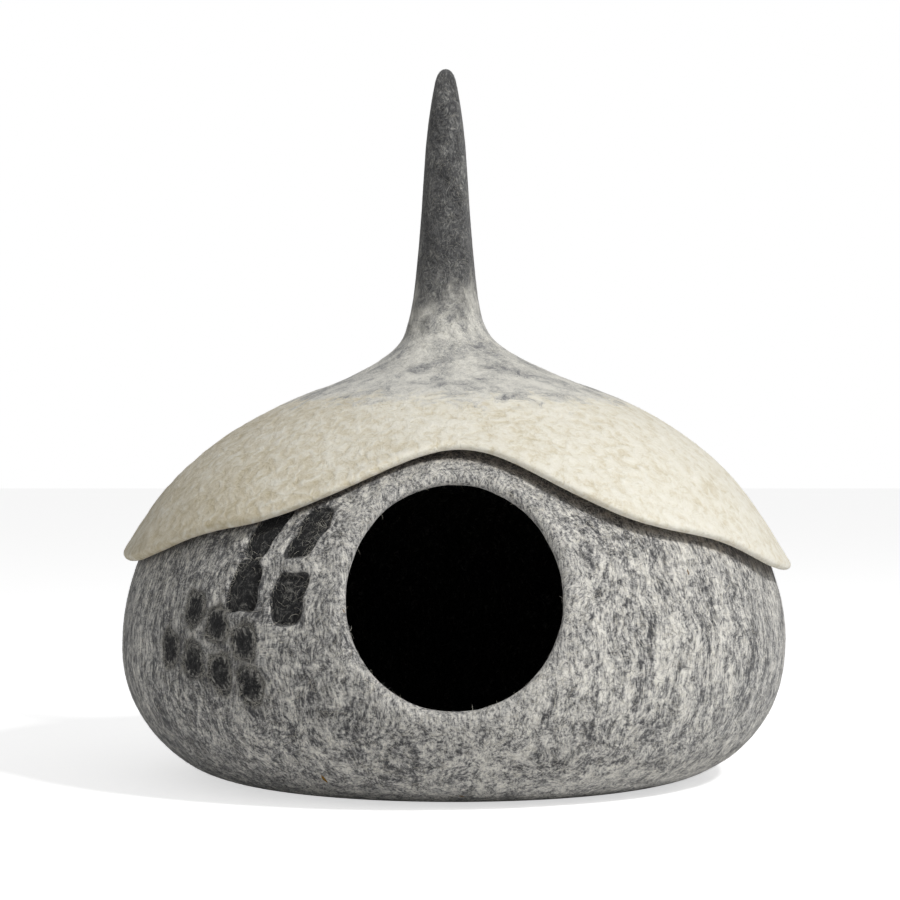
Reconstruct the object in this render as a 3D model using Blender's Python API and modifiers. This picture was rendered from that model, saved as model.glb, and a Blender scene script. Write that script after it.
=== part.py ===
"""Felt cat cave: a round felted pot with a door hole, a felted hood with a spire, and dark felt
inlays beside the door. Metres, +Z up, the door faces -Y, the pot stands on z = 0."""

import math

import bmesh
import bpy
from mathutils import Matrix, Vector

OBJECT_NAME = "felt_cat_cave"

# Pot: a half ellipse above its girth, a quarter ellipse below it, and a flat round base
GIRTH_RADIUS = 0.250
GIRTH_HEIGHT = 0.100
BASE_RADIUS = 0.163
CROWN_HEIGHT = 0.298
WALL = 0.008

# Door hole, an upright ellipse seen from the front
DOOR_HEIGHT = 0.1455
DOOR_HALF_WIDTH = 0.074
DOOR_HALF_RISE = 0.0765
LIP_THICKNESS = 0.012
LIP_ROUNDING = 0.0045
LIP_SWELL = 0.004
LIP_REACH = 0.10

# Hood: it follows the pot, stands off a little more at its brim, and carries the spire
HOOD_STAND = 0.011
HOOD_THICKNESS = 0.008
HOOD_GAP = 0.0012
BRIM_FLARE = 0.004
FLARE_TOP = 0.200
FLARE_DEPTH = 0.040
BRIM_LIFT_DEPTH = 0.045
SPIRE_OFFSET = -0.0062
SHOULDER_HEIGHT = 0.2965
SPIRE_TIP = 0.534

# Height of the brim's lowest line at each azimuth from the front, the same on both sides
BRIM = (  # azimuth in degrees, height
    (0.0, 0.2435),
    (5.0, 0.2420),
    (10.0, 0.2375),
    (15.0, 0.2290),
    (20.0, 0.2190),
    (27.0, 0.2055),
    (35.0, 0.1935),
    (45.0, 0.1860),
    (55.0, 0.1750),
    (65.0, 0.1625),
    (80.0, 0.1585),
    (120.0, 0.1560),
    (180.0, 0.1550),
)

# How far the brim's edge stands out beyond the rest of the hood; right of the door is +
BRIM_LIFT = (  # azimuth in degrees, lift
    (-70.0, 0.0000),
    (-30.0, 0.0010),
    (-8.0, 0.0060),
    (10.0, 0.0075),
    (28.0, 0.0060),
    (45.0, 0.0030),
    (75.0, 0.0000),
)

# The crown sits a little lower on its left
LEFT_SAG = 0.0022
SAG_FROM = 0.205
SAG_RISE = 0.050
SAG_REACH = 0.150

SPIRE = (  # height, radius
    (0.2965, 0.0900),
    (0.3045, 0.0715),
    (0.3120, 0.0565),
    (0.3195, 0.0445),
    (0.3270, 0.0360),
    (0.3350, 0.0310),
    (0.3480, 0.0268),
    (0.3750, 0.0228),
    (0.4250, 0.0184),
    (0.4750, 0.0151),
    (0.5080, 0.0110),
    (0.5250, 0.0078),
    (0.5320, 0.0045),
)

# Inlays in slanting rows: each row starts at an azimuth and a height and steps along
PANE_ROWS = (  # count, azimuth, height, azimuth step, height step, width, rise, lean, pocket depth
    (2, -34.7, 0.1890, 9.2, 0.0000, 0.0220, 0.0330, 0.28, 0.0030),
    (2, -36.0, 0.1510, 9.0, -0.0070, 0.0250, 0.0350, 0.08, 0.0030),
    (3, -46.6, 0.1350, 5.9, -0.0110, 0.0180, 0.0200, -0.08, 0.0018),
    (4, -52.4, 0.1060, 6.3, -0.0070, 0.0180, 0.0215, -0.05, 0.0018),
)
PANE_THICKNESS = 0.0015
PANE_GAP = 0.0003
PANE_CORNER = 0.005

# Fineness of the meshes
POT_SEGMENTS = 50
POT_RINGS = 25
POT_RING_CROWDING = 1.15
HOOD_SEGMENTS = 50
HOOD_CROWDING = 0.45
DOME_STATIONS = 9
EDGE_STATIONS = 4
UNDERSIDE_STATIONS = 8

COLOURS = {
    "pot": (0.33, 0.32, 0.30),
    "hood": (0.68, 0.64, 0.53),
    "pane": (0.03, 0.03, 0.03),
}


def remove_everything():
    for thing in list(bpy.data.objects):
        bpy.data.objects.remove(thing, do_unlink=True)


def make_collection(name):
    collection = bpy.data.collections.new(name)
    bpy.context.scene.collection.children.link(collection)
    return collection


def felt_material(name, colour):
    material = bpy.data.materials.new(name)
    material.use_nodes = True
    shader = material.node_tree.nodes["Principled BSDF"]
    shader.inputs["Base Color"].default_value = (*colour, 1.0)
    shader.inputs["Roughness"].default_value = 0.95
    return material


def make_object(name, bm, collection, colour=None):
    mesh = bpy.data.meshes.new(name)
    bm.to_mesh(mesh)
    bm.free()
    thing = bpy.data.objects.new(name, mesh)
    collection.objects.link(thing)
    if colour is not None:
        mesh.materials.append(felt_material(name + "_felt", colour))
    return thing


def read_table(table, at):
    """Value at a place in a table of two columns, with straight lines between its rows."""
    if at <= table[0][0]:
        return table[0][1]
    for (low, low_value), (high, high_value) in zip(table, table[1:]):
        if at <= high:
            share = (at - low) / (high - low)
            return low_value + share * (high_value - low_value)
    return table[-1][1]


def pot_radius(height):
    """Outer radius of the pot at a height, or less than 0 above and below it."""
    if height < 0.0 or height > CROWN_HEIGHT:
        return -1.0
    if height < GIRTH_HEIGHT:
        drop = (GIRTH_HEIGHT - height) / GIRTH_HEIGHT
        return BASE_RADIUS + (GIRTH_RADIUS - BASE_RADIUS) * math.sqrt(1.0 - drop * drop)
    rise = (height - GIRTH_HEIGHT) / (CROWN_HEIGHT - GIRTH_HEIGHT)
    return GIRTH_RADIUS * math.sqrt(1.0 - rise * rise)


def settled(point):
    """A point of the pot or the hood, let down where the crown sits lower."""
    across = max(0.0, min(1.0, -point.x / SAG_REACH))
    up = max(0.0, min(1.0, (point.z - SAG_FROM) / SAG_RISE))
    drop = LEFT_SAG * across * up * (3.0 - 2.0 * across) * (3.0 - 2.0 * up) * across * up
    return Vector((point.x, point.y, point.z - drop))


def pot_point(direction):
    """Where a line from the cabin, at the door's height, leaves the pot."""
    start = Vector((0.0, 0.0, DOOR_HEIGHT))
    near = 0.0
    far = 2.0 * GIRTH_RADIUS
    for _ in range(40):
        middle = 0.5 * (near + far)
        point = start + direction * middle
        if math.hypot(point.x, point.y) < pot_radius(point.z):
            near = middle
        else:
            far = middle
    return start + direction * near


def door_angle(turn):
    """Angle from the door's axis to its edge, at a turn around that axis."""
    across = DOOR_HALF_WIDTH * math.cos(turn)
    up = DOOR_HALF_RISE * math.sin(turn)
    radius = pot_radius(DOOR_HEIGHT + up)
    forward = math.sqrt(radius * radius - across * across)
    return math.atan2(math.hypot(across, up), forward)


def make_pot(collection):
    """A ball with its poles on the door's axis, pushed out to the pot's form and thickened."""
    bm = bmesh.new()
    bmesh.ops.create_uvsphere(bm, u_segments=POT_SEGMENTS, v_segments=POT_RINGS, radius=1.0)
    bm.verts.ensure_lookup_table()
    door_pole = max(bm.verts, key=lambda vert: vert.co.z)
    bmesh.ops.delete(bm, geom=[door_pole], context="VERTS")
    lip_weights = []
    for vert in bm.verts:
        ring = math.acos(max(-1.0, min(1.0, vert.co.z))) / math.pi * POT_RINGS
        turn = math.atan2(vert.co.y, vert.co.x)
        share = max(0.0, (ring - 1.0) / (POT_RINGS - 1.0)) ** POT_RING_CROWDING
        edge = door_angle(turn)
        angle = edge + share * (math.pi - edge)
        side = math.sin(angle)
        direction = Vector((side * math.cos(turn), -math.cos(angle), side * math.sin(turn)))
        nearness = max(0.0, 1.0 - share / LIP_REACH) ** 2
        vert.co = settled(pot_point(direction) + direction * LIP_SWELL * nearness)
        lip_weights.append(nearness)
    pot = make_object("pot", bm, collection, COLOURS["pot"])
    lip = pot.vertex_groups.new(name="lip")
    for index, weight in enumerate(lip_weights):
        lip.add([index], weight, "REPLACE")
    wall = pot.modifiers.new("wall", "SOLIDIFY")
    wall.thickness = LIP_THICKNESS
    wall.offset = -1.0
    wall.use_even_offset = True
    wall.vertex_group = lip.name
    wall.thickness_vertex_group = WALL / LIP_THICKNESS
    rounding = pot.modifiers.new("lip_rounding", "BEVEL")
    rounding.width = LIP_ROUNDING
    rounding.segments = 3
    rounding.limit_method = "ANGLE"
    rounding.angle_limit = math.radians(50.0)
    return pot


def hood_section(angle, stand):
    """Point (radius, height) on the pot's upper ellipse moved out by a stand-off."""
    radius = (GIRTH_RADIUS + stand) * math.cos(angle)
    height = GIRTH_HEIGHT + (CROWN_HEIGHT - GIRTH_HEIGHT + stand) * math.sin(angle)
    flare = BRIM_FLARE * (max(0.0, FLARE_TOP - height) / FLARE_DEPTH) ** 2
    return Vector((radius + flare, height))


def section_angle(height, stand):
    return math.asin((height - GIRTH_HEIGHT) / (CROWN_HEIGHT - GIRTH_HEIGHT + stand))


def lifted(point, edge, azimuth):
    """A point of the hood's section, moved out near the brim's edge."""
    nearness = max(0.0, 1.0 - (point.y - edge) / BRIM_LIFT_DEPTH)
    return Vector((point.x + read_table(BRIM_LIFT, azimuth) * min(1.0, nearness) ** 2, point.y))


def hood_stations(azimuth):
    """Section of the hood at one azimuth, from the spire's tip over the brim to the underside."""
    stations = [Vector((0.0, SPIRE_TIP))]
    for height, radius in reversed(SPIRE):
        stations.append(Vector((radius, height)))
    half = 0.5 * HOOD_THICKNESS
    shoulder = section_angle(SHOULDER_HEIGHT, HOOD_STAND)
    edge = read_table(BRIM, abs(azimuth))
    brim = section_angle(edge + half, HOOD_STAND)
    for step in range(1, DOME_STATIONS + 1):
        angle = shoulder + (brim - shoulder) * step / DOME_STATIONS
        stations.append(hood_section(angle, HOOD_STAND))
    above = hood_section(brim + 0.01, HOOD_STAND)
    down = (stations[-1] - above).normalized()
    inward = Vector((down.y, -down.x))
    middle = stations[-1] + inward * half
    for step in range(1, EDGE_STATIONS + 1):
        turn = math.pi * step / EDGE_STATIONS
        around = down * math.sin(turn) - inward * math.cos(turn)
        stations.append(middle + around * half)
    for step in range(1, UNDERSIDE_STATIONS + 1):
        share = step / UNDERSIDE_STATIONS
        angle = brim + (0.5 * math.pi - brim) * share
        gap = HOOD_STAND - HOOD_THICKNESS
        stand = gap + (HOOD_GAP - gap) * share
        stations.append(hood_section(angle, stand))
    return [lifted(station, edge, azimuth) for station in stations]


def spire_shift(height):
    """The spire stands a little to the left of the hood's middle."""
    share = (height - SHOULDER_HEIGHT) / (0.345 - SHOULDER_HEIGHT)
    share = max(0.0, min(1.0, share))
    return SPIRE_OFFSET * share * share * (3.0 - 2.0 * share)


def make_hood(collection):
    """A ball whose rings become the stations of the hood's section."""
    rings = len(hood_stations(0.0)) - 1
    bm = bmesh.new()
    bmesh.ops.create_uvsphere(bm, u_segments=HOOD_SEGMENTS, v_segments=rings, radius=1.0)
    for vert in bm.verts:
        ring = round(math.acos(max(-1.0, min(1.0, vert.co.z))) / math.pi * rings)
        turn = math.atan2(vert.co.x, -vert.co.y)
        turn -= HOOD_CROWDING * math.sin(turn)
        radius, height = hood_stations(math.degrees(turn))[ring]
        across = radius * math.sin(turn) + spire_shift(height)
        vert.co = settled(Vector((across, -radius * math.cos(turn), height)))
    return make_object("hood", bm, collection, COLOURS["hood"])


def surface_frame(azimuth, height):
    """Axes on the pot's face: x to the right, y up along the face, z outward."""
    turn = math.radians(azimuth)
    radial = Vector((math.sin(turn), -math.cos(turn), 0.0))
    right = Vector((math.cos(turn), math.sin(turn), 0.0))
    step = 0.001
    slope = (pot_radius(height + step) - pot_radius(height - step)) / (2.0 * step)
    up = (radial * slope + Vector((0.0, 0.0, 1.0))).normalized()
    outward = right.cross(up)
    place = radial * pot_radius(height) + Vector((0.0, 0.0, height))
    frame = Matrix((right, up, outward)).transposed().to_4x4()
    return Matrix.Translation(place) @ frame


def add_tablet(bm, frame, width, rise, lean, bottom, top, corner):
    """A flat four-sided prism with rounded corners, leaning to the right as it goes up."""
    box = bmesh.ops.create_cube(bm, size=1.0)["verts"]
    shape = Matrix.Translation((0.0, 0.0, 0.5 * (bottom + top)))
    shape = shape @ Matrix.Diagonal((width, rise, top - bottom, 1.0))
    bmesh.ops.transform(bm, matrix=shape, verts=box)
    sides = set()
    for vert in box:
        sides.update(edge for edge in vert.link_edges if abs(edge.verts[0].co.z - edge.verts[1].co.z) > 1e-4)
    result = bmesh.ops.bevel(bm, geom=list(sides), offset=corner, segments=3, profile=0.5, affect="EDGES")
    tablet = {vert for face in result["faces"] for vert in face.verts}
    for vert in tablet:
        vert.co.x += lean * vert.co.y
        vert.co = frame @ vert.co


def pane_places():
    """Every inlay's frame on the pot with its width, rise, lean and pocket depth."""
    places = []
    for count, azimuth, height, turn, climb, width, rise, lean, depth in PANE_ROWS:
        for number in range(count):
            frame = surface_frame(azimuth + number * turn, height + number * climb)
            places.append((frame, width, rise, lean, depth))
    return places


def make_panes(collection, cutters, pot):
    """Shallow pockets in the pot's face, and a tablet of dark felt in each."""
    pockets = bmesh.new()
    for number, (frame, width, rise, lean, depth) in enumerate(pane_places(), start=1):
        add_tablet(pockets, frame, width, rise, lean, -depth, 2.0 * WALL, PANE_CORNER)
        bm = bmesh.new()
        bottom = PANE_GAP - depth
        trim = 2.0 * PANE_GAP
        add_tablet(
            bm, frame, width - trim, rise - trim, lean, bottom, bottom + PANE_THICKNESS, PANE_CORNER - PANE_GAP
        )
        make_object(f"pane_{number:02d}", bm, collection, COLOURS["pane"])
    cutter = make_object("pocket_cutter", pockets, cutters)
    cutter.hide_render = True
    cutter.display_type = "WIRE"
    cut = pot.modifiers.new("pockets", "BOOLEAN")
    cut.operation = "DIFFERENCE"
    cut.solver = "EXACT"
    cut.object = cutter


def main():
    remove_everything()
    parts = make_collection(OBJECT_NAME)
    cutters = make_collection("cutters")
    pot = make_pot(parts)
    make_hood(parts)
    make_panes(parts, cutters, pot)


main()
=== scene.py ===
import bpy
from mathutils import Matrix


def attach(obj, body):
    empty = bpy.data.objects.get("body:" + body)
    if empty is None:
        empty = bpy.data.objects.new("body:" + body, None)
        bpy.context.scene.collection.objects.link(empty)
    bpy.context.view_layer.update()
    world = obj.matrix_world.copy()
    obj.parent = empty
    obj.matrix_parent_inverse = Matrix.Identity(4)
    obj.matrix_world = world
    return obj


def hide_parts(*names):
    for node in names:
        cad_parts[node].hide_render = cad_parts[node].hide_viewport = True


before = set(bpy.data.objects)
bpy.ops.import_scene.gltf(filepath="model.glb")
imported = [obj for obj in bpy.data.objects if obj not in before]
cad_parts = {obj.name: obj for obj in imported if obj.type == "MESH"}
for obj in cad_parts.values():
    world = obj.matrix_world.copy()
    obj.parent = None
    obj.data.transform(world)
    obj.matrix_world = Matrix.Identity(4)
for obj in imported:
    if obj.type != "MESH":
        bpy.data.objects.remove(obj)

"""Felt cat cave. The pot is wet-felted in two layers, charcoal wool inside and mixed grey outside; the hood
is cream wool with a mixed grey top and a charcoal spire. Everything is in metres."""

import math

import bmesh
import bpy
import numpy as np
from mathutils import Vector, noise

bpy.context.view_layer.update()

# Pot
GIRTH_RADIUS = 0.250
GIRTH_HEIGHT = 0.100
BASE_RADIUS = 0.158
CROWN_HEIGHT = 0.298
WALL = 0.008
DOOR_HEIGHT = 0.1455
DOOR_HALF_WIDTH = 0.074
DOOR_HALF_RISE = 0.0765
LIP_THICKNESS = 0.013
LIP_ROLL = 0.010
LIP_SWELL = 0.0030

# Hood
HOOD_STAND = 0.011
HOOD_THICKNESS = 0.008
HOOD_GAP = 0.0012
BRIM_FLARE = 0.004
FLARE_TOP = 0.200
FLARE_DEPTH = 0.040
BRIM_LIFT_DEPTH = 0.045
SPIRE_OFFSET = -0.0062
SHOULDER_HEIGHT = 0.2965
SPIRE_TIP = 0.534
LEFT_SAG = 0.0022
SAG_FROM = 0.205
SAG_RISE = 0.050
SAG_REACH = 0.150

# Height of the brim's lowest line: azimuth from the front in degrees, right +, and height
BRIM = np.array([
    (-180.0, 0.1550), (-120.0, 0.1590), (-90.0, 0.1655), (-78.0, 0.1655), (-68.0, 0.1680), (-59.0, 0.1755),
    (-52.0, 0.1845), (-45.0, 0.1912), (-38.0, 0.1950), (-31.0, 0.2030), (-25.0, 0.2136), (-20.0, 0.2235),
    (-15.0, 0.2332), (-10.0, 0.2405), (-5.0, 0.2452), (0.0, 0.2473), (5.0, 0.2465), (10.0, 0.2420),
    (15.0, 0.2330), (20.0, 0.2215), (25.0, 0.2114), (31.0, 0.2007), (38.0, 0.1941), (45.0, 0.1886),
    (53.0, 0.1805), (60.0, 0.1710), (67.0, 0.1630), (76.0, 0.1580), (90.0, 0.1565), (120.0, 0.1560),
    (180.0, 0.1550),
])

# How far the brim's edge stands out beyond the rest of the hood: azimuth in degrees and lift
BRIM_LIFT = np.array([
    (-180.0, 0.0), (-70.0, 0.0), (-30.0, 0.0010), (-8.0, 0.0060), (10.0, 0.0075), (28.0, 0.0060),
    (45.0, 0.0030), (75.0, 0.0), (180.0, 0.0),
])

# Spire and shoulder: height and radius
SPIRE = np.array([
    (0.2965, 0.0900), (0.3005, 0.0803), (0.3045, 0.0715), (0.3085, 0.0632), (0.3120, 0.0565),
    (0.3160, 0.0500), (0.3195, 0.0445), (0.3235, 0.0396), (0.3270, 0.0360), (0.3310, 0.0330),
    (0.3350, 0.0310), (0.3420, 0.0284), (0.3480, 0.0268), (0.3600, 0.0246), (0.3750, 0.0228),
    (0.4000, 0.0204), (0.4250, 0.0184), (0.4500, 0.0168), (0.4750, 0.0151), (0.4920, 0.0133),
    (0.5080, 0.0110), (0.5180, 0.0092), (0.5250, 0.0078), (0.5290, 0.0064), (0.5320, 0.0045),
    (0.5335, 0.0024),
])

# Dark felt patches in slanting rows, each starting at an azimuth and a height and stepping along
PANE_ROWS = [  # count, azimuth, height, azimuth step, height step, width, rise, lean, depth of the recess
    (2, -35.2, 0.1880, 9.2, 0.0010, 0.0225, 0.0400, 0.30, 0.0026),
    (2, -36.6, 0.1510, 9.1, -0.0060, 0.0265, 0.0370, 0.05, 0.0026),
    (3, -46.8, 0.1350, 5.9, -0.0105, 0.0185, 0.0215, -0.08, 0.0007),
    (4, -52.6, 0.1060, 6.3, -0.0070, 0.0185, 0.0230, -0.05, 0.0007),
]
SUNK = 0.002  # a recess deeper than this is a cut-back one with a rolled grey edge

rng = np.random.default_rng(11)


# ---------------------------------------------------------------- forms

def smooth(low, high, at):
    share = np.clip((at - low) / (high - low), 0.0, 1.0)
    return share * share * (3.0 - 2.0 * share)


def rolling(table, at):
    """A table read with a soft curve between its rows."""
    spread = np.linspace(-3.0, 3.0, 7)
    return sum(np.interp(at + step, table[:, 0], table[:, 1]) for step in spread) / len(spread)


def pot_radius(height):
    """Outer radius of the pot at each height, or less than 0 above and below it."""
    drop = np.clip((GIRTH_HEIGHT - height) / GIRTH_HEIGHT, 0.0, 1.0)
    low = BASE_RADIUS + (GIRTH_RADIUS - BASE_RADIUS) * np.sqrt(1.0 - drop * drop)
    rise = np.clip((height - GIRTH_HEIGHT) / (CROWN_HEIGHT - GIRTH_HEIGHT), 0.0, 1.0)
    high = GIRTH_RADIUS * np.sqrt(1.0 - rise * rise)
    radius = np.where(height < GIRTH_HEIGHT, low, high)
    return np.where((height < 0.0) | (height > CROWN_HEIGHT), -1.0, radius)


def pot_points(directions):
    """Where lines from the cabin, at the door's height, leave the pot."""
    start = np.array([0.0, 0.0, DOOR_HEIGHT])
    near = np.zeros(len(directions))
    far = np.full(len(directions), 2.0 * GIRTH_RADIUS)
    for _ in range(36):
        middle = 0.5 * (near + far)
        points = start + directions * middle[:, None]
        within = np.hypot(points[:, 0], points[:, 1]) < pot_radius(points[:, 2])
        near = np.where(within, middle, near)
        far = np.where(within, far, middle)
    return start + directions * near[:, None]


def settled(points):
    """Points of the pot or the hood, let down a little on the crown's left."""
    across = smooth(0.0, 1.0, -points[:, 0] / SAG_REACH)
    up = smooth(0.0, 1.0, (points[:, 2] - SAG_FROM) / SAG_RISE)
    points = points.copy()
    points[:, 2] -= LEFT_SAG * across * up
    return points


def lumps(points, size, seed):
    """Soft unevenness of a hand-made form, from about -1 to 1 over lumps of a size."""
    shift = Vector((seed, 2.0 * seed, -seed))
    return np.array([noise.noise(Vector(point) / size + shift) for point in points])


def pot_unevenness(points):
    above_floor = smooth(0.0, 0.02, points[:, 2])
    return above_floor * (0.0010 * lumps(points, 0.055, 3.0) + 0.00045 * lumps(points, 0.014, 7.0))


def grid_faces(rows, columns, offset=0):
    """Faces between rows of points that each run round in a closed ring."""
    row, column = np.meshgrid(np.arange(rows - 1), np.arange(columns), indexing="ij")
    next_column = (column + 1) % columns
    corners = (
        row * columns + column,
        row * columns + next_column,
        (row + 1) * columns + next_column,
        (row + 1) * columns + column,
    )
    return np.stack(corners, axis=-1).reshape(-1, 4) + offset


def mesh_from(name, points, faces, materials, slots=None):
    mesh = bpy.data.meshes.new(name)
    mesh.from_pydata(np.asarray(points).tolist(), [], [list(face) for face in faces])
    for material in materials:
        mesh.materials.append(material)
    if slots is not None:
        mesh.polygons.foreach_set("material_index", np.asarray(slots, dtype=np.int32))
    mesh.polygons.foreach_set("use_smooth", np.ones(len(mesh.polygons), dtype=bool))
    mesh.update()
    piece = bpy.data.objects.new(name, mesh)
    bpy.context.scene.collection.objects.link(piece)
    return piece


def points_of(mesh):
    flat = np.empty(3 * len(mesh.vertices))
    mesh.vertices.foreach_get("co", flat)
    return flat.reshape(-1, 3)


def normals_of(mesh):
    flat = np.empty(3 * len(mesh.vertices))
    mesh.vertices.foreach_get("normal", flat)
    return flat.reshape(-1, 3)


# ---------------------------------------------------------------- dark patches

class Patch:
    """One dark felt patch: its place on the pot and its uneven four-sided outline."""

    def __init__(self, azimuth, height, width, rise, lean, depth, number):
        turn = math.radians(azimuth)
        radial = np.array([math.sin(turn), -math.cos(turn), 0.0])
        self.right = np.array([math.cos(turn), math.sin(turn), 0.0])
        step = 0.001
        beside = pot_radius(np.array([height - step, height, height + step]))
        up = radial * (beside[2] - beside[0]) / (2.0 * step) + np.array([0.0, 0.0, 1.0])
        self.up = up / np.linalg.norm(up)
        self.out = np.cross(self.right, self.up)
        self.centre = radial * beside[1] + np.array([0.0, 0.0, height])
        self.half = (0.5 * width, 0.5 * rise)
        self.lean = lean
        self.depth = depth
        self.number = number
        self.sunk = depth > SUNK

    def outline_share(self, across, along):
        """1 on a four-sided outline with round corners, less inside it; a cut-back patch is squarer."""
        power = 4.0 if self.sunk else 2.6
        sides = np.abs(across / self.half[0]) ** power + np.abs(along / self.half[1]) ** power
        return sides ** (1.0 / power)

    def from_edge(self, points):
        """Distance of each point outside the outline, less than 0 inside it."""
        away = points - self.centre
        across = away @ self.right
        along = away @ self.up
        across = across - self.lean * along
        angle = np.arctan2(along, across)
        wobble = 0.0009 * np.sin(3.0 * angle + 2.1 * self.number)
        wobble += 0.0006 * np.sin(5.0 * angle - 1.3 * self.number)
        share = self.outline_share(across, along)
        distance = (share - 1.0) * min(self.half) + wobble
        return np.where(np.abs(away @ self.out) < 0.02, distance, 1.0)

    def outline(self, turns, grow):
        """Points round the outline, in the patch's own plane, grown outward."""
        across = np.cos(turns)
        along = np.sin(turns)
        reach = 1.0 / self.outline_share(across, along)
        across = across * (reach + grow)
        along = along * (reach + grow)
        return across + self.lean * along, along

    def on_pot(self, across, along):
        """Points of the patch's plane laid on the pot's face, and the way out there."""
        points = self.centre + across[:, None] * self.right + along[:, None] * self.up
        radial = points[:, :2] / np.linalg.norm(points[:, :2], axis=1)[:, None]
        radius = pot_radius(points[:, 2])
        laid = np.column_stack([radial * radius[:, None], points[:, 2]])
        step = 0.001
        slope = (pot_radius(points[:, 2] + step) - pot_radius(points[:, 2] - step)) / (2.0 * step)
        out = np.column_stack([radial, -slope])
        return laid, out / np.linalg.norm(out, axis=1)[:, None]


def all_patches():
    patches = []
    for count, azimuth, height, turn, climb, width, rise, lean, depth in PANE_ROWS:
        for number in range(count):
            place = (azimuth + number * turn, height + number * climb)
            patches.append(Patch(*place, width, rise, lean, depth, len(patches) + 1))
    return patches


# ---------------------------------------------------------------- materials

def linear(hex_colour):
    """sRGB hex to the linear colour that a shader takes."""
    channels = [int(hex_colour[start:start + 2], 16) / 255.0 for start in (1, 3, 5)]
    straight = [c / 12.92 if c <= 0.04045 else ((c + 0.055) / 1.055) ** 2.4 for c in channels]
    return (*straight, 1.0)


def add(tree, kind, inputs=None, **settings):
    """A node with its settings; inputs maps a socket's name or number to a value or to what feeds it."""
    node = tree.nodes.new(kind)
    for name, value in settings.items():
        setattr(node, name, value)
    for name, source in (inputs or {}).items():
        socket = node.inputs[name]
        if isinstance(source, bpy.types.NodeSocket):
            tree.links.new(source, socket)
        else:
            socket.default_value = source
    return node


def new_wool(name, roughness=0.95, sheen=0.25):
    """Wool has no gloss: rough, a little sheen from the fibre ends, and wool's own index of 1.55."""
    material = bpy.data.materials.new(name)
    material.use_nodes = True
    tree = material.node_tree
    shader = tree.nodes["Principled BSDF"]
    shader.inputs["Roughness"].default_value = roughness
    shader.inputs["IOR"].default_value = 1.55
    shader.inputs["Specular IOR Level"].default_value = 0.15
    shader.inputs["Sheen Weight"].default_value = sheen
    shader.inputs["Sheen Roughness"].default_value = 0.6
    return material, tree, shader


def per_metre(millimetres):
    """Noise scale for features of a size."""
    return 1000.0 / millimetres


def vectors(tree, operation, *values):
    return add(tree, "ShaderNodeVectorMath", dict(enumerate(values)), operation=operation).outputs[0]


def drawn_out(tree, stretch, wander, wander_size):
    """Object coordinates squeezed along the way the wool lies, and pushed about so that locks wander."""
    place = add(tree, "ShaderNodeTexCoord").outputs["Object"]
    cloud = {"Vector": place, "Scale": per_metre(wander_size), "Detail": 2.0}
    drift = add(tree, "ShaderNodeTexNoise", cloud).outputs["Color"]
    centred = vectors(tree, "SUBTRACT", drift, (0.5, 0.5, 0.5))
    return vectors(tree, "MULTIPLY", vectors(tree, "MULTIPLY_ADD", centred, (wander,) * 3, place), stretch)


def wool_noise(tree, coordinates, size, detail=3.0, roughness=0.6, kind="FBM"):
    node = add(
        tree,
        "ShaderNodeTexNoise",
        {"Vector": coordinates, "Scale": per_metre(size), "Detail": detail, "Roughness": roughness},
        noise_type=kind,
    )
    return node.outputs["Fac"]


def calc(tree, operation, *values, clamp=False):
    inputs = dict(enumerate(values))
    return add(tree, "ShaderNodeMath", inputs, operation=operation, use_clamp=clamp).outputs[0]


def spread(tree, value, low, high, to_low=0.0, to_high=1.0):
    """A value stretched from one range to another with soft ends."""
    inputs = {"Value": value, "From Min": low, "From Max": high, "To Min": to_low, "To Max": to_high}
    return add(tree, "ShaderNodeMapRange", inputs, interpolation_type="SMOOTHSTEP").outputs["Result"]


def colours(tree, value, stops):
    ramp = add(tree, "ShaderNodeValToRGB", {"Fac": value})
    band = ramp.color_ramp.elements
    for place, _ in stops[2:]:
        band.new(place)
    for element, (place, hex_colour) in zip(band, sorted(stops)):
        element.position = place
        element.color = linear(hex_colour)
    return ramp.outputs["Color"]


def blend(tree, share, first, second):
    node = add(tree, "ShaderNodeMix", {"Factor": share}, data_type="RGBA")
    tree.links.new(first, node.inputs["A"])
    tree.links.new(second, node.inputs["B"])
    return node.outputs["Result"]


def weighted(tree, parts):
    """0.5 plus each (noise, weight) about its own middle."""
    total = 0.5
    for value, weight in parts:
        total = calc(tree, "MULTIPLY_ADD", calc(tree, "SUBTRACT", value, 0.5), weight, total)
    return total


def relief(tree, shader, height, depth, strength=1.0):
    bump = add(tree, "ShaderNodeBump", {"Height": height, "Distance": depth, "Strength": strength})
    tree.links.new(bump.outputs["Normal"], shader.inputs["Normal"])


def measured(tree, name):
    return add(tree, "ShaderNodeAttribute", attribute_name=name).outputs["Fac"]


def across(tree, axis):
    """Place along one of the object's axes."""
    place = add(tree, "ShaderNodeTexCoord").outputs["Object"]
    return add(tree, "ShaderNodeSeparateXYZ", {0: place}).outputs[axis]


def black_wool(tree):
    """Charcoal wool with a few grey fibres lying in it."""
    lie = drawn_out(tree, (1.0, 1.0, 0.6), 0.03, 25.0)
    fibres = wool_noise(tree, lie, 1.6, 4.0, 0.8)
    locks = wool_noise(tree, lie, 6.0, 3.0, 0.6)
    tone = weighted(tree, [(fibres, 1.9), (locks, 0.8)])
    return colours(tree, tone, [(0.20, "#121213"), (0.95, "#74736f"), (0.55, "#262627")]), tone


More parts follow.
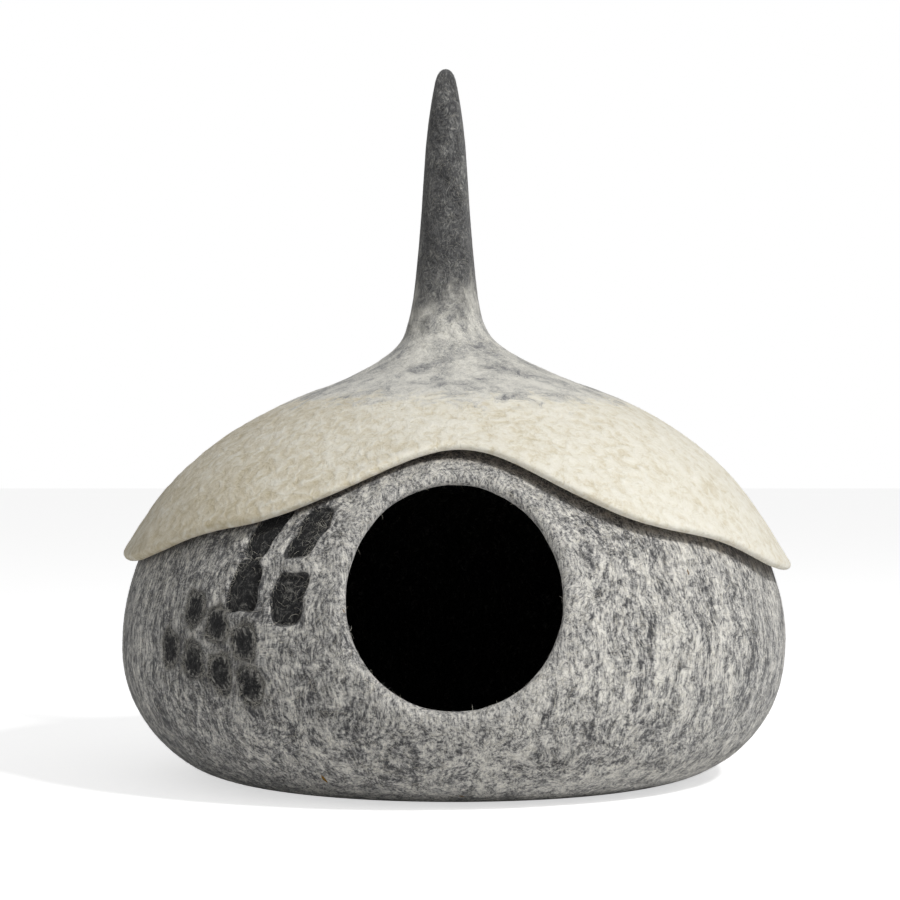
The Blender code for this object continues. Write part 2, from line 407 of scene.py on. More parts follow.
def grey_felt():
    """Mixed grey wool, wet-felted by hand: charcoal, grey and cream wool carded together, in locks 3 to 8 mm
    wide and 10 to 30 mm long with short dark flecks between them; quite matt. The fibres are 0.03 mm in the
    hand and are drawn about 1 mm wide so that they show. Painted shade darkens the left side and browns the
    band under the brim."""
    material, tree, shader = new_wool("mixed grey wool felt")
    along = drawn_out(tree, (1.0, 1.0, 0.30), 0.022, 42.0)
    askew = drawn_out(tree, (0.6, 0.6, 1.0), 0.030, 30.0)
    cloudy = wool_noise(tree, along, 30.0, 2.0)
    locks = wool_noise(tree, along, 8.0, 3.0, 0.65)
    tufts = wool_noise(tree, askew, 4.2, 3.0, 0.7)
    flecks = wool_noise(tree, along, 2.1, 3.0, 0.7)
    hairs = wool_noise(tree, askew, 1.1, 3.0, 0.8)
    lip = measured(tree, "lip")
    calm = calc(tree, "MULTIPLY_ADD", lip, -0.65, 1.0)
    broad = weighted(tree, [(cloudy, 0.7), (locks, 1.5), (tufts, 1.1)])
    broad = calc(tree, "MULTIPLY_ADD", calc(tree, "SUBTRACT", broad, 0.5), calm, 0.5)
    fine = weighted(tree, [(flecks, 2.0), (hairs, 1.3)])
    tone = calc(tree, "ADD", fine, calc(tree, "SUBTRACT", broad, 0.5))
    # Painted shade: the left side, turned away from the key lamp, is darkened.
    side = spread(tree, across(tree, "X"), -0.20, 0.05, -0.13, 0.0)
    tone = calc(tree, "ADD", calc(tree, "ADD", tone, side), calc(tree, "MULTIPLY", lip, 0.05))
    stops = [(0.02, "#3a3a3c"), (0.98, "#e6e3da"), (0.26, "#6b6a69"), (0.46, "#a1a09d"), (0.66, "#c6c3bd")]
    grey = colours(tree, tone, stops)
    black, _ = black_wool(tree)
    ragged = calc(tree, "MULTIPLY", weighted(tree, [(flecks, 3.0)]), 0.5)
    veil = calc(tree, "ADD", measured(tree, "veil"), ragged)
    covered = spread(tree, veil, 0.62, 1.10)
    pane = spread(tree, measured(tree, "pane"), 0.35, 0.75)
    dark = calc(tree, "MAXIMUM", covered, pane)
    # Painted shade: a brown tone mixed in just under the brim's edge, where the brim's shadow falls.
    shade_brown = colours(tree, tone, [(0.10, "#33291f"), (0.90, "#8d7a60"), (0.50, "#5f5040")])
    painted_brim_shade = calc(tree, "MULTIPLY", measured(tree, "brim_shade"), 0.75)
    colour = blend(tree, dark, blend(tree, painted_brim_shade, grey, shade_brown), black)
    tree.links.new(colour, shader.inputs["Base Color"])
    relief(tree, shader, weighted(tree, [(tufts, 0.9), (flecks, 1.0), (hairs, 0.6)]), 0.0014, 0.6)
    return material


def charcoal_felt():
    """Charcoal wool felt, the under layer: near black, with grey wool strayed over the rim of each patch."""
    material, tree, shader = new_wool("charcoal wool felt", 0.97, 0.05)
    black, tone = black_wool(tree)
    lie = drawn_out(tree, (1.0, 1.0, 0.5), 0.02, 20.0)
    stray = wool_noise(tree, lie, 2.2, 4.0, 0.75)
    grey = colours(tree, stray, [(0.30, "#6f6e6b"), (0.70, "#b5b2ab")])
    ragged = calc(tree, "MULTIPLY", weighted(tree, [(stray, 3.5)]), 0.6)
    rim = calc(tree, "ADD", measured(tree, "rim"), ragged)
    tree.links.new(blend(tree, spread(tree, rim, 0.85, 1.45), black, grey), shader.inputs["Base Color"])
    relief(tree, shader, tone, 0.0012, 0.6)
    return material


def hood_felt():
    """Cream wool felt, wet-felted and a little wrinkled, with mixed grey at the top and charcoal on the
    spire. The seams between colours are ragged because the wools are laid over each other wet."""
    material, tree, shader = new_wool("cream wool felt with grey top")
    place = add(tree, "ShaderNodeTexCoord").outputs["Object"]
    height = add(tree, "ShaderNodeSeparateXYZ", {0: place}).outputs["Z"]

    curl = drawn_out(tree, (1.0, 1.0, 1.0), 0.012, 14.0)
    wrinkles = wool_noise(tree, curl, 7.0, 3.0, 0.55)
    pile = wool_noise(tree, curl, 2.0, 4.0, 0.75)
    clouds = wool_noise(tree, curl, 45.0, 2.0)
    # Painted light and shade: the left side darkened and the right side lightened, as the key lamp falls.
    side = spread(tree, across(tree, "X"), -0.20, 0.02, -0.16, 0.10)
    cream_tone = calc(tree, "ADD", weighted(tree, [(clouds, 0.5), (wrinkles, 1.1), (pile, 0.7)]), side)
    cream_stops = [(0.05, "#c0b28e"), (0.85, "#f3efe2"), (0.40, "#ddd4bd"), (0.60, "#ebe6d6")]
    cream = colours(tree, cream_tone, cream_stops)

    swirl = drawn_out(tree, (1.0, 1.0, 0.8), 0.03, 22.0)
    ridged = wool_noise(tree, swirl, 9.0, 4.0, 0.6, "RIDGED_MULTIFRACTAL")
    fine = wool_noise(tree, swirl, 1.6, 4.0, 0.8)
    patchy = wool_noise(tree, swirl, 24.0, 2.0)
    top_tone = weighted(tree, [(patchy, 1.5), (ridged, -0.45), (fine, 1.7)])
    top_stops = [(0.02, "#454547"), (0.95, "#e6e3d9"), (0.36, "#8b8b8b"), (0.60, "#c2c0b9")]
    top = colours(tree, top_tone, top_stops)

    upright = drawn_out(tree, (1.0, 1.0, 0.45), 0.02, 18.0)
    strands = wool_noise(tree, upright, 1.7, 4.0, 0.8)
    bands = wool_noise(tree, upright, 12.0, 3.0, 0.6)
    spire_tone = weighted(tree, [(strands, 2.2), (bands, 1.0)])
    spire_stops = [(0.10, "#1e1e1f"), (0.95, "#9b9a95"), (0.45, "#414142"), (0.70, "#626261")]
    spire = colours(tree, spire_tone, spire_stops)

    ragged = wool_noise(tree, swirl, 16.0, 4.0, 0.65)
    top_line = calc(tree, "MULTIPLY_ADD", calc(tree, "SUBTRACT", ragged, 0.5), 0.050, height)
    is_top = spread(tree, top_line, 0.2755, 0.2850)
    spire_line = calc(tree, "MULTIPLY_ADD", calc(tree, "SUBTRACT", bands, 0.5), 0.11, height)
    is_spire = spread(tree, spire_line, 0.325, 0.385)
    colour = blend(tree, is_spire, blend(tree, is_top, cream, top), spire)
    tree.links.new(colour, shader.inputs["Base Color"])
    relief(tree, shader, weighted(tree, [(wrinkles, 1.9), (pile, 0.7), (fine, 0.35)]), 0.0018, 0.6)
    return material


def brown_felt():
    """Brown wool felt for the hood's underside: dull and rough, and seen only as a dark line of shade."""
    material, tree, shader = new_wool("brown wool felt", 0.97, 0.1)
    lie = drawn_out(tree, (1.0, 1.0, 1.0), 0.012, 14.0)
    tone = weighted(tree, [(wool_noise(tree, lie, 2.0, 4.0, 0.75), 1.4), (wool_noise(tree, lie, 12.0), 0.7)])
    stops = [(0.15, "#4c3d2b"), (0.85, "#a8977a"), (0.50, "#7a684e")]
    tree.links.new(colours(tree, tone, stops), shader.inputs["Base Color"])
    relief(tree, shader, tone, 0.0014, 0.6)
    return material


def fibre_wool(name, dark, light):
    """Loose wool fibres on the felt's face, each a slightly different shade along its length."""
    material, tree, shader = new_wool(name, 0.9, 0.2)
    place = add(tree, "ShaderNodeTexCoord").outputs["Object"]
    shade = wool_noise(tree, place, 9.0, 2.0)
    tree.links.new(colours(tree, shade, [(0.30, dark), (0.70, light)]), shader.inputs["Base Color"])
    return material


def chaff():
    """Bits of dry seed husk caught in the wool: brown, dull and papery."""
    material, tree, shader = new_wool("dry seed husk", 0.8, 0.0)
    place = add(tree, "ShaderNodeTexCoord").outputs["Object"]
    shade = wool_noise(tree, place, 1.5, 2.0)
    tree.links.new(colours(tree, shade, [(0.30, "#4d3515"), (0.70, "#96702f")]), shader.inputs["Base Color"])
    return material


# ---------------------------------------------------------------- pot

POT_SEGMENTS = 256
POT_OUTER_RINGS = 150
POT_INNER_RINGS = 46
LIP_RINGS = 12


def door_angles(turns, widen):
    """Angle from the door's axis to the edge of its opening, made wider all round."""
    across = (DOOR_HALF_WIDTH + widen) * np.cos(turns)
    up = (DOOR_HALF_RISE + widen) * np.sin(turns)
    radius = pot_radius(DOOR_HEIGHT + up)
    forward = np.sqrt(radius * radius - across * across)
    return np.arctan2(np.hypot(across, up), forward)


def pot_shell(shares):
    """Rings on the pot's outside from the door's lip, share 0, to the back, share 1."""
    turns = np.linspace(0.0, 2.0 * math.pi, POT_SEGMENTS, endpoint=False)
    edges = door_angles(turns, LIP_ROLL)
    rings = []
    for share in shares:
        angles = edges + share * (math.pi - edges)
        side = np.sin(angles)
        directions = np.column_stack([side * np.cos(turns), -np.cos(angles), side * np.sin(turns)])
        swell = LIP_SWELL * max(0.0, 1.0 - share / 0.085) ** 2
        rings.append(pot_points(directions) + directions * swell)
    return np.array(rings)


def ring_normals(rings):
    along = np.gradient(rings, axis=0)
    around = np.roll(rings, -1, axis=1) - np.roll(rings, 1, axis=1)
    out = np.cross(along, around)
    length = np.linalg.norm(out, axis=2, keepdims=True)
    out = out / np.maximum(length, 1e-12)
    out[-1] = (0.0, 1.0, 0.0)
    return out


def keep(mesh, name, values):
    """Store one number for each point, for the material to read."""
    layer = mesh.attributes.new(name, "FLOAT", "POINT")
    layer.data.foreach_set("value", np.asarray(values, dtype=np.float32))


def name_places(mesh, points, patches):
    """How near each point is to a soft patch, to the lip, and to the band of painted shade under the brim,
    from 0 to 1.
    """
    soft = [patch.from_edge(points) for patch in patches if not patch.sunk]
    crisp = [patch.from_edge(points) for patch in patches if patch.sunk]
    keep(mesh, "veil", 1.0 - smooth(-0.001, 0.0065, np.min(soft, axis=0)))
    keep(mesh, "pane", 1.0 - smooth(-0.0005, 0.0012, np.min(crisp, axis=0)))
    share = np.hypot(points[:, 0] / DOOR_HALF_WIDTH, (points[:, 2] - DOOR_HEIGHT) / DOOR_HALF_RISE) - 1.0
    keep(mesh, "lip", (1.0 - smooth(0.008, 0.022, share * DOOR_HALF_WIDTH)) * (points[:, 1] < 0.0))
    # Painted shade: the band just under the brim's edge, deepest on the right, where the brim's shadow
    # falls.
    degrees = np.degrees(np.arctan2(points[:, 0], -points[:, 1]))
    below = rolling(BRIM, degrees) - points[:, 2]
    depth = np.interp(degrees, [-60, -12, 10, 30, 60, 90], [0.001, 0.007, 0.012, 0.010, 0.007, 0.003])
    keep(mesh, "brim_shade", 1.0 - smooth(0.6 * depth, 1.15 * depth, below))


def make_pot(materials, patches):
    """One closed skin: inside from the back to the lip, round the lip, and outside to the back again."""
    outer_shares = np.linspace(0.0, 1.0, POT_OUTER_RINGS) ** 1.12
    outer = pot_shell(outer_shares)
    outward = ring_normals(outer)
    inner_shares = np.linspace(0.0, 1.0, POT_INNER_RINGS) ** 1.2
    inner = pot_shell(inner_shares)
    extra = (LIP_THICKNESS - WALL) * np.clip(1.0 - inner_shares / 0.10, 0.0, 1.0) ** 2
    inner = inner - ring_normals(inner) * (WALL + extra)[:, None, None]
    back = outer[0] - outer[1]
    back = back / np.linalg.norm(back, axis=1)[:, None]
    middle = 0.5 * (outer[0] + inner[0])
    half = 0.5 * (outer[0] - inner[0])
    lip = []
    for step in range(1, LIP_RINGS):
        turn = math.pi * step / LIP_RINGS
        lip.append(middle - half * math.cos(turn) + back * LIP_ROLL * math.sin(turn))
    rings = np.concatenate([inner[::-1], np.array(lip), outer])
    count = len(rings)
    faces = grid_faces(count, POT_SEGMENTS)
    ring_of_face = np.repeat(np.arange(count - 1), POT_SEGMENTS)
    slots = np.where(ring_of_face < POT_INNER_RINGS - 1, 1, 0)
    pot = mesh_from("pot_felt", rings.reshape(-1, 3), faces, materials, slots)

    bm = bmesh.new()
    bm.from_mesh(pot.data)
    bmesh.ops.remove_doubles(bm, verts=bm.verts, dist=1e-6)
    bmesh.ops.recalc_face_normals(bm, faces=bm.faces)
    near = []
    bm.faces.ensure_lookup_table()
    centres = np.array([face.calc_center_median() for face in bm.faces])
    beside = np.min([patch.from_edge(centres) for patch in patches], axis=0)
    outside = np.hypot(centres[:, 0], centres[:, 1]) > pot_radius(centres[:, 2]) - 0.4 * WALL
    edges = set()
    for index in np.nonzero((beside < 0.009) & outside)[0]:
        edges.update(bm.faces[index].edges)
    bmesh.ops.subdivide_edges(bm, edges=list(edges), cuts=3, use_grid_fill=True)
    bm.to_mesh(pot.data)
    bm.free()
    pot.data.polygons.foreach_set("use_smooth", np.ones(len(pot.data.polygons), dtype=bool))
    pot.data.update()

    points = points_of(pot.data)
    normals = normals_of(pot.data)
    outside = np.hypot(points[:, 0], points[:, 1]) > pot_radius(points[:, 2]) - 0.4 * WALL
    push = np.zeros(len(points))
    for patch in patches:
        distance = patch.from_edge(points)
        soft = 0.0012 if patch.sunk else 0.0030
        sink = (patch.depth + 0.0010) * (1.0 - smooth(-soft, soft, distance))
        roll = 0.0007 * np.exp(-((distance - 0.0035) / 0.0022) ** 2) if patch.sunk else 0.0
        push += np.where(outside, roll - sink, 0.0)
    push += pot_unevenness(points)
    name_places(pot.data, points, patches)
    points = settled(points + normals * push[:, None])
    pot.data.vertices.foreach_set("co", points.ravel())
    pot.data.update()
    return pot


# ---------------------------------------------------------------- hood

HOOD_SEGMENTS = 288
DOME_RINGS = 64
EDGE_RINGS = 12
UNDERSIDE_RINGS = 30


def hood_section(angles, stand):
    """Radius and height on the pot's upper ellipse moved out by a stand-off."""
    radius = (GIRTH_RADIUS + stand) * np.cos(angles)
    height = GIRTH_HEIGHT + (CROWN_HEIGHT - GIRTH_HEIGHT + stand) * np.sin(angles)
    flare = BRIM_FLARE * (np.clip(FLARE_TOP - height, 0.0, None) / FLARE_DEPTH) ** 2
    return radius + flare, height


def section_angle(height, stand):
    return np.arcsin((height - GIRTH_HEIGHT) / (CROWN_HEIGHT - GIRTH_HEIGHT + stand))


def make_hood(materials):
    """One closed skin: the spire, the shoulder and dome, round the brim's edge, and the underside."""
    turns = np.linspace(-math.pi, math.pi, HOOD_SEGMENTS, endpoint=False)
    degrees = np.degrees(turns)
    uneven = 0.0011 * np.sin(7.0 * turns + 0.6) + 0.0008 * np.sin(13.0 * turns + 2.0)
    brim_height = rolling(BRIM, degrees) + 0.7 * uneven
    rings = [(np.zeros(HOOD_SEGMENTS), np.full(HOOD_SEGMENTS, SPIRE_TIP))]
    spire_heights = np.concatenate([np.linspace(0.5335, 0.525, 8), np.linspace(0.521, 0.3485, 46)])
    spire_heights = np.concatenate([spire_heights, np.linspace(0.346, SHOULDER_HEIGHT, 26)])
    for height in spire_heights:
        radius = np.interp(height, SPIRE[:, 0], SPIRE[:, 1])
        rings.append((np.full(HOOD_SEGMENTS, radius), np.full(HOOD_SEGMENTS, height)))
    half = 0.5 * HOOD_THICKNESS
    shoulder = section_angle(SHOULDER_HEIGHT, HOOD_STAND)
    brim = section_angle(brim_height + half, HOOD_STAND)
    for share in np.linspace(0.0, 1.0, DOME_RINGS + 1)[1:]:
        rings.append(hood_section(shoulder + (brim - shoulder) * share, HOOD_STAND))
    edge_radius, edge_height = rings[-1]
    above_radius, above_height = hood_section(brim + 0.01, HOOD_STAND)
    down = np.array([edge_radius - above_radius, edge_height - above_height])
    down = down / np.linalg.norm(down, axis=0)
    inward = np.array([down[1], -down[0]])
    middle = np.array([edge_radius, edge_height]) + inward * half
    for step in range(1, EDGE_RINGS + 1):
        turn = math.pi * step / EDGE_RINGS
        around = down * math.sin(turn) - inward * math.cos(turn)
        rings.append(tuple(middle + around * half))
    gap = HOOD_STAND - HOOD_THICKNESS
    for share in np.linspace(0.0, 1.0, UNDERSIDE_RINGS + 1)[1:]:
        stand = gap + (HOOD_GAP - gap) * share
        rings.append(hood_section(brim + (0.5 * math.pi - brim) * share, stand))
    section = np.array(rings)
    lift = rolling(BRIM_LIFT, degrees)
    nearness = np.clip(1.0 - (section[:, 1] - brim_height) / BRIM_LIFT_DEPTH, 0.0, 1.0) ** 2
    radius = section[:, 0] + lift * nearness
    radius[-1] = 0.0
    height = section[:, 1]
    shift = SPIRE_OFFSET * smooth(SHOULDER_HEIGHT, 0.345, height)
    under_from = len(rings) - UNDERSIDE_RINGS - 1
    shift[under_from:] = 0.0
    points = np.stack([radius * np.sin(turns) + shift, -radius * np.cos(turns), height], axis=-1)
    faces = grid_faces(len(rings), HOOD_SEGMENTS)
    ring_of_face = np.repeat(np.arange(len(rings) - 1), HOOD_SEGMENTS)
    slots = np.where(ring_of_face >= under_from - 1, 1, 0)
    hood = mesh_from("hood_felt", settled(points.reshape(-1, 3)), faces, materials, slots)

    bm = bmesh.new()
    bm.from_mesh(hood.data)
    bmesh.ops.remove_doubles(bm, verts=bm.verts, dist=1e-6)
    bmesh.ops.recalc_face_normals(bm, faces=bm.faces)
    bm.to_mesh(hood.data)
    bm.free()
    hood.data.update()
    points = points_of(hood.data)
    normals = normals_of(hood.data)
    outward = normals @ np.array([0.0, 0.0, 1.0]) > -0.3
    above = smooth(0.15, 0.30, np.hypot(points[:, 0], points[:, 1]) + 0.15)
    push = 0.0008 * lumps(points, 0.060, 5.0) + 0.00035 * lumps(points, 0.012, 9.0)
    left = 1.0 - smooth(-0.12, 0.05, points[:, 0])
    push += 0.00045 * left * lumps(points, 0.006, 4.0)
    push *= np.where(outward, 1.0, 0.3) * above
    hood.data.vertices.foreach_set("co", (points + normals * push[:, None]).ravel())
    hood.data.update()
    return hood


# ---------------------------------------------------------------- dark patches, fibres and husk

def make_patch(patch, material):
    """A tablet of charcoal felt lying in its recess, its rim tucked under the grey around it."""
    turns = np.linspace(0.0, 2.0 * math.pi, 56, endpoint=False)
    shares = np.linspace(0.0, 1.0, 12)[1:]
    tuck = 0.0020
    tops = []
    rim = [np.zeros(1)]
    level = patch.depth * (1.0 if patch.sunk else -0.1)
    for share in shares:
        across, along = patch.outline(turns, tuck)
        laid, out = patch.on_pot(across * share, along * share)
        dip = (0.0012 if patch.sunk else 0.0022) * smooth(0.80, 1.0, share)
        bumps = 0.00025 * lumps(laid, 0.004, 2.0 + patch.number) + pot_unevenness(laid)
        tops.append(laid - out * (level + dip - bumps)[:, None])
        rim.append(np.full(len(turns), share))
    laid, out = patch.on_pot(np.array([0.0]), np.array([0.0]))
    centre = laid - out * (level - pot_unevenness(laid))
    bottom_centre = laid - out * (level + 0.0022)
    bottoms = [ring - patch.out * 0.0012 for ring in (tops[-1], tops[len(tops) // 2])]
    count = len(turns)
    points = np.concatenate([centre] + tops + bottoms + [bottom_centre])
    faces = [[0, 1 + i, 1 + (i + 1) % count] for i in range(count)]
    rows = len(tops) + len(bottoms)
    faces += [list(face) for face in grid_faces(rows, count, 1)]
    last = 1 + (rows - 1) * count
    faces += [[last + (i + 1) % count, last + i, len(points) - 1] for i in range(count)]
    piece = mesh_from(f"patch_{patch.number:02d}", settled(points), faces, [material])
    bm = bmesh.new()
    bm.from_mesh(piece.data)
    bmesh.ops.recalc_face_normals(bm, faces=bm.faces)
    bm.to_mesh(piece.data)
    bm.free()
    rim = np.concatenate(rim + [np.ones(len(points) - 1 - count * len(tops))])
    keep(piece.data, "rim", rim * (0.15 if patch.sunk else 1.0))
    return piece


def spots_on(piece, count, weight):
    """Random places on a piece's faces, where weight(points, normals) says how thickly they lie."""
    mesh = piece.data
    mesh.calc_loop_triangles()
    corners = np.empty(3 * len(mesh.loop_triangles), dtype=np.int32)
    mesh.loop_triangles.foreach_get("vertices", corners)
    points = points_of(mesh)[corners.reshape(-1, 3)]
    cross = np.cross(points[:, 1] - points[:, 0], points[:, 2] - points[:, 0])
    doubled = np.linalg.norm(cross, axis=1)
    normals = cross / np.maximum(doubled, 1e-12)[:, None]
    chance = doubled * weight(points.mean(axis=1), normals)
    chosen = rng.choice(len(points), size=count, p=chance / chance.sum())
    first, second = rng.random((2, count, 1))
    over = first + second > 1.0
    first = np.where(over, 1.0 - first, first)
    second = np.where(over, 1.0 - second, second)
    picked = points[chosen]
    spots = picked[:, 0] + first * (picked[:, 1] - picked[:, 0]) + second * (picked[:, 2] - picked[:, 0])
    return spots, normals[chosen]


CLEAR_OF_FELT = 0.0001


def make_fibres(name, spots, normals, material, length, width, lift, curl, upright, bend, steps=5):
    """Loose fibres lying on a felt face: thin ribbons that curl, dip back into the felt or stand off it."""
    count = len(spots)
    guide = np.tile([0.0, 0.0, 1.0], (count, 1)) * upright + rng.normal(size=(count, 3))
    first = np.cross(normals, np.cross(guide, normals))
    first /= np.linalg.norm(first, axis=1)[:, None] + 1e-9
    second = np.cross(normals, first)
    lengths = length[0] + (length[1] - length[0]) * rng.random(count) ** 1.5
    turning = rng.normal(scale=curl, size=(count, 1)) + rng.normal(scale=0.6 * curl, size=(count, steps))
    heading = np.cumsum(turning / steps, axis=1)
    stride = (lengths / steps)[:, None]
    along = np.concatenate([np.zeros((count, 1)), np.cumsum(np.cos(heading) * stride, axis=1)], axis=1)
    aside = np.concatenate([np.zeros((count, 1)), np.cumsum(np.sin(heading) * stride, axis=1)], axis=1)
    along -= along[:, steps // 2:steps // 2 + 1]
    aside -= aside[:, steps // 2:steps // 2 + 1]
    share = np.linspace(0.0, 1.0, steps + 1)
    arch = np.sin(math.pi * share) * 0.7 + rng.random((count, 1)) * share ** 2
    rise = lift * (0.3 + rng.random((count, 1)) ** 3) * arch + CLEAR_OF_FELT
    rise -= (along ** 2 + aside ** 2) / (2.0 * bend)
    line = (
        spots[:, None, :]
        + along[..., None] * first[:, None, :]
        + aside[..., None] * second[:, None, :]
        + rise[..., None] * normals[:, None, :]
    )
    flow = np.gradient(line, axis=1)
    side = np.cross(flow, normals[:, None, :])
    side /= np.linalg.norm(side, axis=2, keepdims=True) + 1e-12
    taper = 0.5 * width * np.clip(1.35 - 1.1 * np.abs(2.0 * share - 1.0) ** 3, 0.25, 1.0)
    offset = side * taper[None, :, None] * (0.7 + 0.6 * rng.random((count, 1, 1)))
    points = np.stack([line - offset, line + offset], axis=2).reshape(-1, 3)
    per = 2 * (steps + 1)
    one = np.array([[2 * k, 2 * k + 1, 2 * k + 3, 2 * k + 2] for k in range(steps)])
    faces = (one[None] + per * np.arange(count)[:, None, None]).reshape(-1, 4)
    piece = mesh_from(name, points, faces, [material])
    cells = math.ceil(math.sqrt(count))
    number = np.arange(count)
    corner_x = (number % cells) / cells
    corner_y = (number // cells) / cells
    grid_u = np.array([[0.15, 0.85, 0.85, 0.15]] * steps)
    grid_v = np.array([[k, k, k + 1, k + 1] for k in range(steps)]) / steps * 0.7 + 0.15
    u = corner_x[:, None, None] + grid_u[None] / cells
    v = corner_y[:, None, None] + grid_v[None] / cells
    layer = piece.data.uv_layers.new(name="OFBake")
    layer.data.foreach_set("uv", np.stack([u, v], axis=-1).ravel())
    return piece


def make_husks(pot, material):
    """Bits of husk lying in the pot's face, slivers 3 to 9 mm long."""
    spots, normals = spots_on(pot, 9, lambda points, out: outer_face(points) * (points[:, 2] > 0.015))
    chosen = [(-24.5, 0.0200, 0.0095), (1.5, 0.0085, 0.0045)]  # azimuth, height, length
    points, faces = [], []
    for azimuth, height, length in chosen:
        turn = math.radians(azimuth)
        radius = float(pot_radius(np.array([height]))[0])
        spots = np.vstack([spots, [radius * math.sin(turn), -radius * math.cos(turn), height]])
        slope = (pot_radius(np.array([height + 0.001])) - pot_radius(np.array([height - 0.001])))[0] / 0.002
        out = np.array([math.sin(turn), -math.cos(turn), -slope])
        normals = np.vstack([normals, out / np.linalg.norm(out)])
    small = 0.003 + 0.002 * rng.random(len(spots) - len(chosen))
    lengths = np.concatenate([small, [row[2] for row in chosen]])
    for spot, out, length in zip(spots, normals, lengths):
        guide = np.array([0.25 * rng.normal(), 0.25 * rng.normal(), 1.0])
        way = np.cross(out, np.cross(guide, out))
        way /= np.linalg.norm(way)
        side = np.cross(out, way)
        start = len(points)
        for share in np.linspace(0.0, 1.0, 7):
            breadth = 0.14 * length * math.sin(math.pi * (0.06 + 0.88 * share))
            middle = spot + way * (share - 0.5) * length + side * 0.06 * length * math.sin(2.5 * share)
            for turn in np.linspace(0.0, 2.0 * math.pi, 8, endpoint=False):
                rise = 0.45 * breadth * math.sin(turn)
                points.append(middle + side * breadth * math.cos(turn) + out * rise)
        faces += grid_faces(7, 8, start).tolist()
        faces.append([start + i for i in range(8)][::-1])
        faces.append([start + 48 + i for i in range(8)])
    return mesh_from("husk_specks", np.array(points), faces, [material])


def outer_face(points):
    """1 where points are on the pot's outside."""
    return (np.hypot(points[:, 0], points[:, 1]) > pot_radius(points[:, 2]) - 0.5 * WALL).astype(float)


# ---------------------------------------------------------------- putting it together

def under_hood(points):
    """1 where the pot is well under the hood, so that nothing shows there."""
    degrees = np.degrees(np.arctan2(points[:, 0], -points[:, 1]))
    return (points[:, 2] > rolling(BRIM, degrees) + 0.012).astype(float)


patches = all_patches()
grey = grey_felt()
dark = charcoal_felt()
cream = hood_felt()
light_fibre = fibre_wool("pale wool fibre", "#a6a298", "#dcd7c9")
mid_fibre = fibre_wool("grey wool fibre", "#77756f", "#aaa79d")
dark_fibre = fibre_wool("dark wool fibre", "#39393b", "#66666a")
cream_fibre = fibre_wool("cream wool fibre", "#d9cfb4", "#f4eede")

pot = make_pot([grey, dark], patches)
hood = make_hood([cream, brown_felt()])
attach(pot, "root")
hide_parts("pot")
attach(hood, "root")
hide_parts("hood")

for patch in patches:
    piece = make_patch(patch, dark)
    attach(piece, "root")
    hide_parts(f"pane_{patch.number:02d}")


def on_pot(points, normals):
    return outer_face(points) * (1.0 - under_hood(points)) * (points[:, 2] > 0.004)


def in_patches(points, normals):
    distance = np.min([patch.from_edge(points) for patch in patches], axis=0)
    return on_pot(points, normals) * (distance < 0.001)


def in_small_patches(points, normals):
    distance = np.min([patch.from_edge(points) for patch in patches if not patch.sunk], axis=0)
    return on_pot(points, normals) * (distance < 0.003)


def on_hood(points, normals):
    return ((normals[:, 2] > -0.2) & (points[:, 2] < 0.285)).astype(float)


def on_spire(points, normals):
    return (points[:, 2] > 0.30).astype(float)


fibre_sets = [
    # name, place, weight, count, material, slot,
    # length, width, lift, curl, upright, bend
    ("pot_pale_fibres", pot, on_pot, 18000, light_fibre, "grey_felt",
     (0.004, 0.012), 0.00014, 0.0006, 1.6, 0.8, 0.25),
    ("pot_dark_fibres", pot, on_pot, 12000, dark_fibre, "grey_felt",
     (0.003, 0.009), 0.00018, 0.0004, 1.6, 0.8, 0.25),
    ("patch_fibres", pot, in_patches, 260, mid_fibre, "grey_felt",
     (0.006, 0.016), 0.00013, 0.0022, 2.2, 0.6, 0.6),
    ("veil_fibres", pot, in_small_patches, 1300, mid_fibre, "grey_felt",
     (0.005, 0.014), 0.00020, 0.0014, 1.8, 0.6, 0.4),
    ("hood_fibres", hood, on_hood, 9000, cream_fibre, "cream_felt",
     (0.003, 0.010), 0.00012, 0.0006, 2.2, 0.0, 0.25),
    ("spire_fibres", hood, on_spire, 4000, mid_fibre, "grey_felt",
     (0.003, 0.009), 0.00010, 0.0004, 2.2, 0.8, 0.02),
]
for name, place, weight, count, material, slot, length, width, lift, curl, upright, bend in fibre_sets:
    spots, normals = spots_on(place, count, weight)
    piece = make_fibres(name, spots, normals, material, length, width, lift, curl, upright, bend)
    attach(piece, "root")

husks = make_husks(pot, chaff())
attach(husks, "root")


# ---------------------------------------------------------------- studio

PAPER_GLOW = 0.62

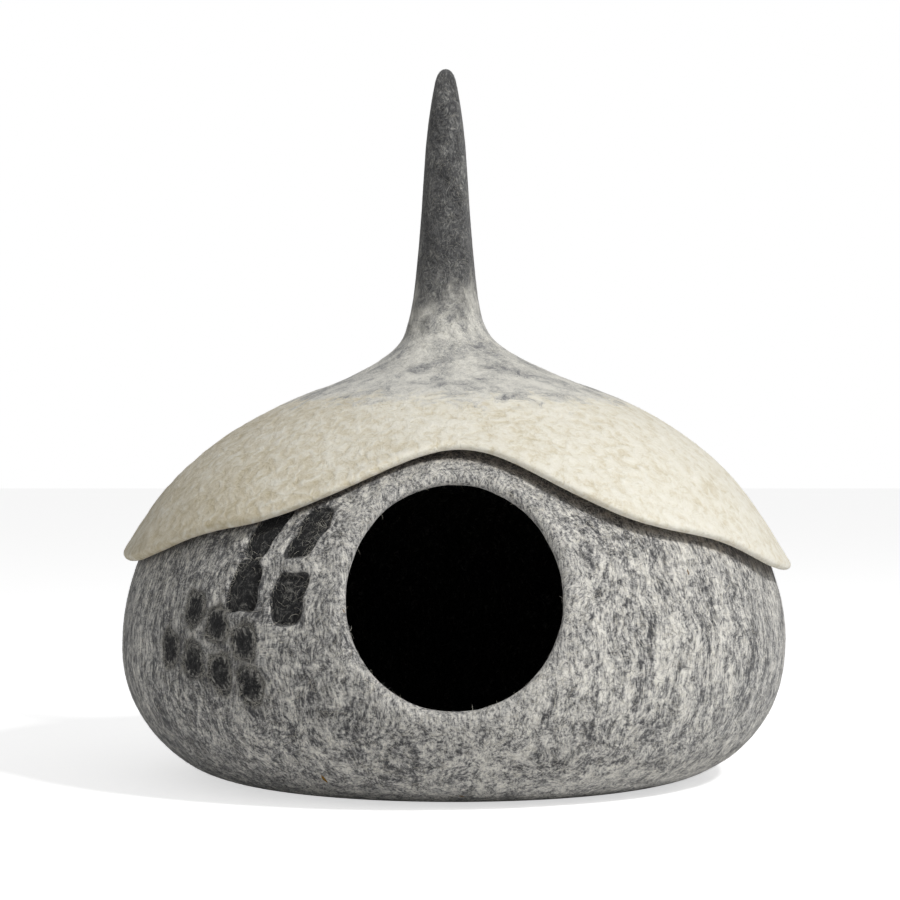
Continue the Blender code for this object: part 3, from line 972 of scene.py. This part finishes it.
def lit_paper():
    """White paper sweep, brighter where it is seen than in what it lights, so that it stays white."""
    material = bpy.data.materials.new("white paper sweep")
    material.use_nodes = True
    shader = material.node_tree.nodes["Principled BSDF"]
    shader.inputs["Base Color"].default_value = linear("#f4f4f4")
    shader.inputs["Roughness"].default_value = 0.9
    shader.inputs["Specular IOR Level"].default_value = 0.1
    shader.inputs["Emission Color"].default_value = (1.0, 1.0, 1.0, 1.0)
    tree = material.node_tree
    seen = calc(tree, "MULTIPLY", add(tree, "ShaderNodeLightPath").outputs["Is Camera Ray"], PAPER_GLOW)
    tree.links.new(seen, shader.inputs["Emission Strength"])
    return material


def make_floor():
    corners = [(-9, -6, 0), (9, -6, 0), (9, 14, 0), (-9, 14, 0)]
    mesh_from("floor", corners, [[0, 1, 2, 3]], [lit_paper()])


def add_light(name, place, aim, size, power):
    light = bpy.data.lights.new(name, "AREA")
    light.shape = "DISK"
    light.size = size
    light.energy = power
    lamp = bpy.data.objects.new(name, light)
    lamp.location = place
    lamp.rotation_euler = (Vector(aim) - Vector(place)).to_track_quat("-Z", "Y").to_euler()
    bpy.context.scene.collection.objects.link(lamp)


def add_camera():
    camera = bpy.data.cameras.new("camera")
    camera.lens = 100.0
    camera.sensor_width = 36.0
    view = bpy.data.objects.new("camera", camera)
    view.location = (-0.0029, -1.9, 0.2445)
    view.rotation_euler = (math.radians(90.0), 0.0, 0.0)
    bpy.context.scene.collection.objects.link(view)
    bpy.context.scene.camera = view


def set_world(strength, seen):
    """Even white studio walls: one brightness for what they light and one for what is seen of them."""
    world = bpy.data.worlds.new("studio")
    bpy.context.scene.world = world
    world.use_nodes = True
    tree = world.node_tree
    tree.nodes.clear()
    seen_first = add(tree, "ShaderNodeLightPath").outputs["Is Camera Ray"]
    power = calc(tree, "MULTIPLY_ADD", seen_first, seen - strength, strength)
    walls = add(tree, "ShaderNodeBackground", {"Color": (1.0, 1.0, 1.0, 1.0), "Strength": power})
    add(tree, "ShaderNodeOutputWorld", {"Surface": walls.outputs[0]})


make_floor()
add_camera()
add_light("key", (1.5, -1.6, 2.0), (0.0, 0.0, 0.18), 0.32, 52.0)
add_light("fill", (-1.8, -2.0, 0.9), (0.0, 0.0, 0.2), 1.2, 2.5)
set_world(0.34, 1.0)
bpy.context.scene.view_settings.view_transform = "Standard"
